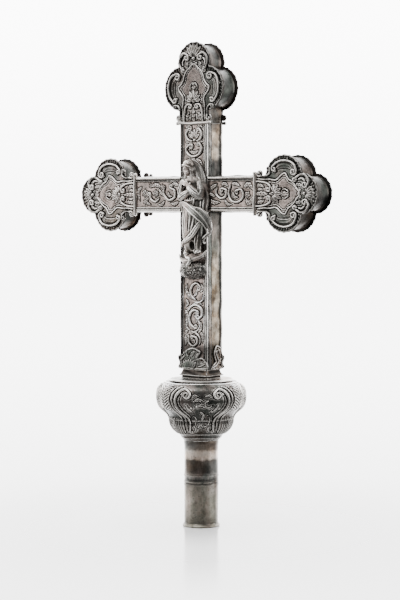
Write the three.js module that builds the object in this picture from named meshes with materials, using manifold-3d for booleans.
// A processional altar cross: a wooden cross clad in chased silver sheet, on a hollow knop and a pole socket.
// Units are millimetres and +Z is up. The front faces -Y, and the origin is on the socket's axis at its foot.
import * as THREE from "three";
import { mergeVertices } from "three/addons/utils/BufferGeometryUtils.js";
import Module from "manifold-3d";

const wasm = await Module();
wasm.setup();

// ---- Driving dimensions ----
const GAP = 0.3; // clearance between neighbouring pieces
const SHEET = 1.2; // silver sheet
const CROSSING_Z = 416; // height of the crossing's centre
const FOOT_Z = 198; // lower end of the clad shaft
const BODY_HALF = 21.7; // half the width of the clad shaft and arms
const CORE_HALF_DEPTH = 13; // half the thickness of the wooden core
const SIDE_NECK = 95.7; // crossing's centre to the mouldings on the side arms
const TOP_NECK = 88; // crossing's centre to the moulding on the upper arm

const WALL_INNER = BODY_HALF - SHEET;
const CORE_HALF = WALL_INNER - GAP;
const PLATE_BACK = CORE_HALF_DEPTH + GAP; // inner face of the front and back plates
const PLATE_FACE = PLATE_BACK + SHEET; // their outer face

// Trefoil terminals, measured outwards from the neck moulding
const LOBE = { across: 19, out: 43, r: 28 };
const SIDE_TIP = { out: 68.4, r: 24.8 };
const TOP_TIP = { out: 75, r: 25.6 };
const OVERHANG = 4; // plates stand this far outside the edge band
const BAND_THICKNESS = SHEET;
const NECK_CURL = { across: 24.4, out: 6.6, r: 4 }; // small scroll at each corner of a plate's neck

// Neck mouldings, foot covers and their nails
const BAR = { half: 27, height: 4.4, proud: 3.2 };
const COVER_SHEET = 1.4;
const NAIL = { head: 1.9, headHeight: 1.1, shank: 0.9, length: 9 };

// Turned and raised parts under the cross
const ROD_R = 5;
const ROD_HOLE = ROD_R + GAP;
const SOCKET_R = 21.3;
const BORE_R = 19.7;
const SLEEVE_JOINT_Z = 58;
const SLEEVE_TOP_Z = 108.6;
const RIM = { r: 23.4, height: 5 };
const LID = { r: 40.6, z: 183.2, top: 186 };
const COLLAR = { plate: [46, 33], top: [41, 27], ledge: 190.2 };
const TURNED_SEGMENTS = 48;

const silver = new THREE.MeshStandardMaterial({ color: 0x8f8880, roughness: 0.45, metalness: 0.9 });
const darkSilver = new THREE.MeshStandardMaterial({ color: 0x6a645c, roughness: 0.5, metalness: 0.85 });
const wood = new THREE.MeshStandardMaterial({ color: 0x6b4a2e, roughness: 0.8, metalness: 0 });
const iron = new THREE.MeshStandardMaterial({ color: 0x3c3a38, roughness: 0.6, metalness: 0.8 });

// ---- Solids ----
function toSolid(geometry) {
  const bare = geometry.clone();
  bare.deleteAttribute("normal");
  bare.deleteAttribute("uv");
  const merged = mergeVertices(bare, 1e-4);
  return new wasm.Manifold(
    new wasm.Mesh({
      numProp: 3,
      vertProperties: merged.attributes.position.array,
      triVerts: new Uint32Array(merged.index.array),
    }),
  );
}

function toGeometry(solid) {
  const mesh = solid.getMesh();
  const geometry = new THREE.BufferGeometry();
  geometry.setAttribute("position", new THREE.BufferAttribute(mesh.vertProperties, 3));
  geometry.setIndex(new THREE.BufferAttribute(mesh.triVerts, 1));
  geometry.computeVertexNormals();
  return geometry;
}

function mesh(name, geometry, material) {
  const made = new THREE.Mesh(geometry, material);
  made.name = name;
  return made;
}

// A block between two corners.
function block(x0, x1, y0, y1, z0, z1) {
  const shape = new THREE.BoxGeometry(x1 - x0, y1 - y0, z1 - z0);
  return shape.translate((x0 + x1) / 2, (y0 + y1) / 2, (z0 + z1) / 2);
}

// A flat piece drawn in X and Z, whose faces lie at y0 and y1.
function slab(points, y0, y1) {
  return new THREE.ExtrudeGeometry(new THREE.Shape(points), { depth: y1 - y0, bevelEnabled: false })
    .rotateX(Math.PI / 2)
    .translate(0, y1, 0);
}

// A ring or disc turned about Z from its [radius, z] section, listed anticlockwise.
function turned(section, segments = TURNED_SEGMENTS) {
  const points = section.map(([r, z]) => new THREE.Vector2(r, z));
  points.push(points[0].clone());
  return new THREE.LatheGeometry(points, segments).rotateX(Math.PI / 2);
}

function rodAt(x, y, z0, z1, r, segments = 20) {
  const shape = new THREE.CylinderGeometry(r, r, z1 - z0, segments).rotateX(Math.PI / 2);
  return shape.translate(x, y, (z0 + z1) / 2);
}

function arc(cx, cy, r, from, to, steps) {
  return Array.from({ length: steps + 1 }, (_, i) => {
    const a = from + ((to - from) * i) / steps;
    return new THREE.Vector2(cx + r * Math.cos(a), cy + r * Math.sin(a));
  });
}

// Where the right lobe's circle meets the tip's circle, on the outside.
function notch(lobeR, tip, tipR) {
  const dx = -LOBE.across;
  const dy = tip.out - LOBE.out;
  const d = Math.hypot(dx, dy);
  const along = (lobeR ** 2 - tipR ** 2 + d ** 2) / (2 * d);
  const off = Math.sqrt(lobeR ** 2 - along ** 2);
  return new THREE.Vector2(
    LOBE.across + (along * dx + off * dy) / d,
    LOBE.out + (along * dy - off * dx) / d,
  );
}

// The trefoil's edge from the right of the neck round to its left. inset shrinks the lobes but not the neck.
function trefoil(tip, inset, neckHalf, curled = false) {
  const lobeR = LOBE.r - inset;
  const tipR = tip.r - inset;
  const meet = notch(lobeR, tip, tipR);
  const start = -Math.acos((neckHalf - LOBE.across) / lobeR);
  const end = Math.atan2(meet.y - LOBE.out, meet.x - LOBE.across);
  const tipStart = Math.atan2(meet.y - tip.out, meet.x);
  const curl = arc(NECK_CURL.across, NECK_CURL.out, NECK_CURL.r, -2.3, 2.3, 8);
  const right = [
    new THREE.Vector2(neckHalf, 0),
    ...(curled ? curl : []),
    ...arc(LOBE.across, LOBE.out, lobeR, start, end, 12),
    ...arc(0, tip.out, tipR, tipStart, Math.PI / 2, 8).slice(1),
  ];
  const left = right.slice(0, -1).reverse().map((p) => new THREE.Vector2(-p.x, p.y));
  return [...right, ...left];
}

// ---- Wooden core ----
function coreBeam(name, neck, tip, directions, low) {
  let solid = null;
  for (const turn of directions) {
    const inset = OVERHANG + BAND_THICKNESS + GAP;
    const points = trefoil(tip, inset, CORE_HALF).map((p) => new THREE.Vector2(p.x, p.y + neck));
    points.push(new THREE.Vector2(-CORE_HALF, 0), new THREE.Vector2(CORE_HALF, 0));
    const arm = slab(points, -CORE_HALF_DEPTH, CORE_HALF_DEPTH).rotateY(turn).translate(0, 0, CROSSING_Z);
    solid = solid ? solid.add(toSolid(arm)) : toSolid(arm);
  }
  if (low !== undefined) {
    const shaft = block(-CORE_HALF, CORE_HALF, -CORE_HALF_DEPTH, CORE_HALF_DEPTH, low, CROSSING_Z + 1);
    solid = solid.add(toSolid(shaft));
  }
  return { name, solid };
}

// The two beams are halved into each other at the crossing.
function woodenCore() {
  const upright = coreBeam("core_upright", TOP_NECK, TOP_TIP, [0], FOOT_Z);
  const crossbar = coreBeam("core_crossbar", SIDE_NECK, SIDE_TIP, [Math.PI / 2, -Math.PI / 2]);
  const wide = CORE_HALF + GAP;
  const frontHalf = block(-wide, wide, -20, 0, CROSSING_Z - wide, CROSSING_Z + wide);
  const backHalf = block(-wide, wide, -GAP, 20, CROSSING_Z - wide, CROSSING_Z + wide);
  upright.solid = upright.solid.subtract(toSolid(frontHalf));
  crossbar.solid = crossbar.solid.subtract(toSolid(backHalf));
  upright.solid = upright.solid.subtract(toSolid(rodAt(0, 0, FOOT_Z - 1, 262, ROD_HOLE)));
  return [upright, crossbar];
}

// ---- Silver cladding of one arm, drawn as the upper arm and turned into place ----
function clothedArm(side, neck, tip, turn) {
  const arm = new THREE.Group();
  const start = BODY_HALF + GAP / 2;
  const place = (name, geometry, material) => arm.add(mesh(name, geometry, material));
  const lift = (points) => points.map((p) => new THREE.Vector2(p.x, p.y + neck + GAP / 2));
  const panel = [
    new THREE.Vector2(-BODY_HALF, start),
    new THREE.Vector2(BODY_HALF, start),
    new THREE.Vector2(BODY_HALF, neck - GAP / 2),
    new THREE.Vector2(-BODY_HALF, neck - GAP / 2),
  ];
  const plate = lift(trefoil(tip, 0, BODY_HALF, true));
  const outer = lift(trefoil(tip, OVERHANG, BODY_HALF));
  const inner = lift(trefoil(tip, OVERHANG + BAND_THICKNESS, WALL_INNER)).reverse();
  place(`${side}_panel_front`, slab(panel, -PLATE_FACE, -PLATE_BACK), silver);
  place(`${side}_panel_back`, slab(panel, PLATE_BACK, PLATE_FACE), darkSilver);
  place(`${side}_terminal_front`, slab(plate, -PLATE_FACE, -PLATE_BACK), silver);
  place(`${side}_terminal_back`, slab(plate, PLATE_BACK, PLATE_FACE), darkSilver);
  place(`${side}_terminal_band`, slab([...outer, ...inner], -CORE_HALF_DEPTH, CORE_HALF_DEPTH), darkSilver);
  place(`${side}_moulding_front`, neckBar(neck, -1), silver);
  place(`${side}_moulding_back`, neckBar(neck, 1), darkSilver);
  const wallStart = side === "upper" ? WALL_INNER : BODY_HALF + GAP;
  for (const [hand, sign] of [["a", -1], ["b", 1]]) {
    const x0 = Math.min(sign * WALL_INNER, sign * BODY_HALF);
    const wall = block(x0, x0 + SHEET, -CORE_HALF_DEPTH, CORE_HALF_DEPTH, wallStart, neck - GAP / 2);
    place(`${side}_wall_${hand}`, wall, darkSilver);
  }
  arm.rotation.y = turn;
  arm.position.z = CROSSING_Z;
  return arm;
}

// A half-round moulding across the neck, longer than the arm is wide. facing is -1 at the front, 1 at the back.
function neckBar(neck, facing) {
  const half = BAR.height / 2;
  const round = arc(0, 0, half, 0, Math.PI, 8);
  const section = round.map((p) => new THREE.Vector2(p.x, (p.y / half) * BAR.proud));
  const bar = new THREE.ExtrudeGeometry(new THREE.Shape(section), { depth: 2 * BAR.half, bevelEnabled: false });
  // Drawn in X and Y and drawn out along Z: lay it along X with its flat on the plate.
  bar.translate(0, 0, -BAR.half).rotateY(Math.PI / 2).rotateX(facing < 0 ? Math.PI : 0);
  return bar.translate(0, facing * (PLATE_FACE + GAP), neck);
}

// ---- Silver cladding of the crossing and the lower shaft ----
function centreAndShaft() {
  const made = [];
  const top = CROSSING_Z - BODY_HALF - GAP / 2;
  const half = BODY_HALF - GAP / 2;
  const low = CROSSING_Z - half;
  const high = CROSSING_Z + half;
  for (const [face, y0, y1, material] of [
    ["front", -PLATE_FACE, -PLATE_BACK, silver],
    ["back", PLATE_BACK, PLATE_FACE, darkSilver],
  ]) {
    const panel = toSolid(block(-BODY_HALF, BODY_HALF, y0, y1, FOOT_Z, top)).subtract(nailHoles(face));
    made.push(mesh(`centre_panel_${face}`, block(-half, half, y0, y1, low, high), material));
    made.push(mesh(`lower_panel_${face}`, toGeometry(panel), material));
  }
  for (const [hand, sign] of [["left", -1], ["right", 1]]) {
    const x0 = Math.min(sign * WALL_INNER, sign * BODY_HALF);
    const wall = block(x0, x0 + SHEET, -CORE_HALF_DEPTH, CORE_HALF_DEPTH, FOOT_Z, CROSSING_Z - WALL_INNER);
    const pierced = toSolid(wall).subtract(nailHoles(hand));
    made.push(mesh(`lower_wall_${hand}`, toGeometry(pierced), darkSilver));
  }
  return made;
}

// ---- Foot covers: a cut-out plate on each side of the shaft's foot, held by two nails ----
// Outlines run anticlockwise as [across, up] from the middle of the cover's lower edge.
const WIDE_COVER = [
  [-22.9, 0], [23, 0], [23.4, 5], [21.4, 9.5], [18, 13.6], [14, 15.4], [10, 14.6], [6.8, 13], [8.6, 17.4],
  [12.8, 22.4], [7.2, 25.2], [0.5, 27.6], [-7.5, 25.6], [-14.2, 21.4], [-18.2, 17.6], [-22.2, 17.8], [-24.8, 15.4],
  [-23.6, 11.4], [-21.6, 7], [-24.4, 3],
];
const NARROW_COVER = [
  [-8, 0], [14.3, 0], [14.1, 7], [14.3, 12], [13.4, 18], [11.6, 24], [9.2, 27.4], [5, 29.2], [1.2, 30.4],
  [-2.2, 26], [-4.6, 20], [-2.6, 14.6], [0.4, 9.8], [-5.8, 5.8], [-9.4, 2.6],
];
const WIDE_NAILS = [[-5.2, 19.3], [13.9, 11.9]];
const NARROW_NAILS = [[4.6, 21.5], [8.6, 5.6]];
const FACES = {
  front: { turn: 0, reach: PLATE_FACE + GAP, outline: WIDE_COVER, nails: WIDE_NAILS },
  right: { turn: Math.PI / 2, reach: BODY_HALF + GAP, outline: NARROW_COVER, nails: NARROW_NAILS },
  back: { turn: Math.PI, reach: PLATE_FACE + GAP, outline: WIDE_COVER, nails: WIDE_NAILS },
  left: { turn: -Math.PI / 2, reach: BODY_HALF + GAP, outline: NARROW_COVER, nails: NARROW_NAILS },
};

function turnTo(geometry, face) {
  return geometry.rotateZ(FACES[face].turn);
}

// Cylinders wide enough for a face's two nails, from outside the cover into the core.
function nailHoles(face) {
  const { reach, nails } = FACES[face];
  const length = NAIL.length + 4;
  const middle = length / 2 - reach - COVER_SHEET - 3;
  const holes = nails.map(([across, up]) => {
    const hole = new THREE.CylinderGeometry(NAIL.shank + GAP, NAIL.shank + GAP, length, 12);
    return toSolid(turnTo(hole.translate(across, middle, FOOT_Z + up), face));
  });
  return holes[0].add(holes[1]);
}

function footCover(face) {
  const { reach, outline } = FACES[face];
  const points = outline.map(([across, up]) => new THREE.Vector2(across, FOOT_Z + up));
  const plate = turnTo(slab(points, -reach - COVER_SHEET, -reach), face);
  return mesh(`foot_cover_${face}`, toGeometry(toSolid(plate).subtract(nailHoles(face))), silver);
}

// A domed nail: its head rests on the cover and its shank runs into the core.
function nail(face, index) {
  const { reach, nails } = FACES[face];
  const [across, up] = nails[index];
  const seat = reach + COVER_SHEET + GAP;
  const section = [
    [0, -NAIL.headHeight],
    [NAIL.head * 0.7, -NAIL.headHeight * 0.7],
    [NAIL.head, 0],
    [NAIL.shank, 0],
    [NAIL.shank, NAIL.length - 1],
    [0, NAIL.length],
  ];
  const points = section.map(([r, y]) => new THREE.Vector2(r, y));
  const shape = new THREE.LatheGeometry(points, 12).translate(across, -seat, FOOT_Z + up);
  return mesh(`foot_nail_${face}_${index + 1}`, turnTo(shape, face), silver);
}

// ---- Figure of the Virgin on a crescent and a globe, half round, lying on the front plates ----
const FIGURE_BACK = PLATE_FACE + GAP;
const FIGURE = { foot: 340.6, crown: 459 };
const CRESCENT = { z: 353.6, r: 21, sweep: 1.02, sheet: 4 };
const GLOBE = { z: 321.8, across: 18, deep: 12, high: 10.2 };
// Half widths of the robe, as [half width, height above the feet].
const ROBE = [
  [0, 0], [9.6, 0], [10.8, 14], [13, 34], [12.4, 52], [10.6, 62], [12, 74], [13.6, 84], [11, 93], [5, 98], [4.5, 106],
  [0, 106],
];
// Rounded masses lying on the robe, as [x, proud, z] at each end and their radius.
const DRAPERY = [
  [[-14, 8, 406], [4, 11, 417], 4.4], // sleeves crossed over the breast
  [[15, 8, 410], [-4, 11, 420], 4.4],
  [[-14, 6, 400], [10, 8, 388], 4.6], // mantle drawn across the hips
  [[10, 8, 388], [23, 5, 392], 4],
  [[23, 5, 392], [24, 4, 376], 3.2], // its flying end
  [[24, 4, 376], [15, 3, 368], 2.4],
  [[-15, 3, 404], [-13, 3, 425], 3.8], // its fall behind the arms
  [[20, 3, 396], [18, 3, 424], 4.6],
  [[6, 7, 452], [13, 3, 428], 4.2], // loose hair
];

function onFront(x, proud, z) {
  return new THREE.Vector3(x, -FIGURE_BACK - proud, z);
}

function fold([from, to, r]) {
  const a = onFront(...from);
  const b = onFront(...to);
  const along = b.clone().sub(a);
  const shape = new THREE.CapsuleGeometry(r, along.length(), 4, 10);
  const aim = new THREE.Quaternion().setFromUnitVectors(new THREE.Vector3(0, 1, 0), along.normalize());
  return shape.applyQuaternion(aim).translate(...a.add(b).multiplyScalar(0.5).toArray());
}

function behindFigure() {
  return toSolid(block(-60, 60, -FIGURE_BACK, 60, 280, 500));
}

function figure() {
  const profile = ROBE.map(([r, z]) => new THREE.Vector2(r, z));
  const robe = new THREE.LatheGeometry(profile, 20).rotateX(Math.PI / 2).scale(1, 0.8, 1);
  const head = new THREE.SphereGeometry(8.2, 16, 10).scale(0.95, 1, 1.2);
  const seat = onFront(-1.9, 7.5, FIGURE.crown - 9.9);
  let solid = toSolid(robe.translate(1, -FIGURE_BACK - 1.5, FIGURE.foot));
  solid = solid.add(toSolid(head.translate(...seat.toArray())));
  for (const mass of DRAPERY) {
    solid = solid.add(toSolid(fold(mass)));
  }
  return mesh("figure", toGeometry(solid.subtract(behindFigure())), silver);
}

function globe() {
  const ball = new THREE.SphereGeometry(1, 20, 12).scale(GLOBE.across, GLOBE.deep, GLOBE.high);
  const solid = toSolid(ball.translate(0, -FIGURE_BACK, GLOBE.z));
  return mesh("globe", toGeometry(solid.subtract(behindFigure())), silver);
}

// A crescent with its horns up, cradling the feet.
function crescent() {
  const { z, r, sweep, sheet } = CRESCENT;
  const down = -Math.PI / 2;
  const outer = arc(0, z, r, down - sweep, down + sweep, 14);
  const inner = arc(0, z + 4, r - 0.6, down + sweep * 0.97, down - sweep * 0.97, 12);
  return mesh("crescent_moon", slab([...outer, ...inner], -FIGURE_BACK - sheet, -FIGURE_BACK), silver);
}

// ---- Stepped collar, knop and pole socket ----
// A frustum with a rectangular section, [width, depth] at its foot and at its top.
function frustum(foot, top, z0, z1) {
  const shape = new THREE.BoxGeometry(1, 1, z1 - z0);
  const corners = shape.attributes.position;
  for (let i = 0; i < corners.count; i++) {
    const [width, depth] = corners.getZ(i) > 0 ? top : foot;
    corners.setXY(i, corners.getX(i) * width, corners.getY(i) * depth);
  }
  return shape.translate(0, 0, (z0 + z1) / 2);
}

function collar() {
  const [width, depth] = COLLAR.plate;
  const plate = block(-width / 2, width / 2, -depth / 2, depth / 2, LID.top + GAP, COLLAR.ledge);
  const solid = toSolid(frustum(COLLAR.plate, COLLAR.top, COLLAR.ledge - 0.01, FOOT_Z - GAP))
    .add(toSolid(plate))
    .subtract(toSolid(rodAt(0, 0, 180, 200, ROD_HOLE)));
  return mesh("stepped_collar", toGeometry(solid), darkSilver);
}

function knop() {
  const wall = 1.6;
  const upper = [
    [38.6, LID.z - GAP], [43, 182.4], [47.4, 180.2], [51.2, 176.3], [53.6, 171.2], [54.6, 165], [54.2, 159.5],
    [52.4, 153.6], [48.8, 148.8], [44.4, 144.6], [41, 140.4], [39.6, 136.2],
  ];
  const lower = [
    [39.4, 136.2 - GAP], [38.9, 131], [37.2, 126.4], [34.4, 122.2], [30, 118], [25.8, 113.8], [22.6, SLEEVE_TOP_Z + GAP],
  ];
  const shell = (outer) => [...outer.map(([r, z]) => [r - wall, z]), ...outer.slice().reverse()];
  const lid = [[ROD_HOLE, LID.z], [LID.r - 0.8, LID.z], [LID.r, LID.z + 1], [LID.r, LID.top - 0.8], [LID.r - 0.8, LID.top], [ROD_HOLE, LID.top]];
  return [
    mesh("knop_lid", turned(lid), silver),
    mesh("knop_upper_shell", turned(shell(upper)), silver),
    mesh("knop_lower_shell", turned(shell(lower)), darkSilver),
  ];
}

function socket() {
  const bead = (z) => [[SOCKET_R, z - 1], [SOCKET_R + 0.7, z - 0.5], [SOCKET_R + 0.7, z + 0.5], [SOCKET_R, z + 1]];
  const capUnder = SLEEVE_TOP_Z - 2;
  const upper = [
    [ROD_HOLE, capUnder], [BORE_R, capUnder], [BORE_R, SLEEVE_JOINT_Z + GAP], [SOCKET_R, SLEEVE_JOINT_Z + GAP],
    ...bead(SLEEVE_JOINT_Z + 4), [SOCKET_R, SLEEVE_TOP_Z], [ROD_HOLE, SLEEVE_TOP_Z],
  ];
  const lower = [
    [BORE_R, RIM.height + GAP], [SOCKET_R, RIM.height + GAP], ...bead(SLEEVE_JOINT_Z - 7), ...bead(SLEEVE_JOINT_Z - 3),
    [SOCKET_R, SLEEVE_JOINT_Z], [BORE_R, SLEEVE_JOINT_Z],
  ];
  const rim = [[BORE_R, 0], [RIM.r - 0.8, 0], [RIM.r, 1], [RIM.r, RIM.height - 2.4], [SOCKET_R, RIM.height], [BORE_R, RIM.height]];
  return [
    mesh("socket_upper_sleeve", turned(upper), silver),
    mesh("socket_lower_sleeve", turned(lower), silver),
    mesh("socket_rim", turned(rim), silver),
  ];
}

// An iron rod screwed up into the core draws the knop and the socket against the collar, with a washer and a nut.
function tieRod() {
  const washerTop = SLEEVE_TOP_Z - 2 - GAP;
  const washer = [[ROD_HOLE, washerTop - 2], [15, washerTop - 2], [15, washerTop], [ROD_HOLE, washerTop]];
  const nutTop = washerTop - 2 - GAP;
  const nut = toSolid(rodAt(0, 0, nutTop - 6, nutTop, 9, 6)).subtract(toSolid(rodAt(0, 0, 90, 110, ROD_HOLE)));
  return [
    mesh("tie_rod", rodAt(0, 0, nutTop - 8, 260, ROD_R), iron),
    mesh("rod_washer", turned(washer, 32), iron),
    mesh("rod_nut", toGeometry(nut), iron),
  ];
}

// ---- The whole cross ----
const cross = new THREE.Group();
for (const beam of woodenCore()) {
  let solid = beam.solid;
  if (beam.name === "core_upright") for (const face of Object.keys(FACES)) solid = solid.subtract(nailHoles(face));
  cross.add(mesh(beam.name, toGeometry(solid), wood));
}
cross.add(clothedArm("upper", TOP_NECK, TOP_TIP, 0));
cross.add(clothedArm("right", SIDE_NECK, SIDE_TIP, Math.PI / 2));
cross.add(clothedArm("left", SIDE_NECK, SIDE_TIP, -Math.PI / 2));
cross.add(...centreAndShaft());
for (const face of Object.keys(FACES)) cross.add(footCover(face), nail(face, 0), nail(face, 1));
cross.add(figure(), globe(), crescent(), collar(), ...knop(), ...socket(), ...tieRod());

export default cross;
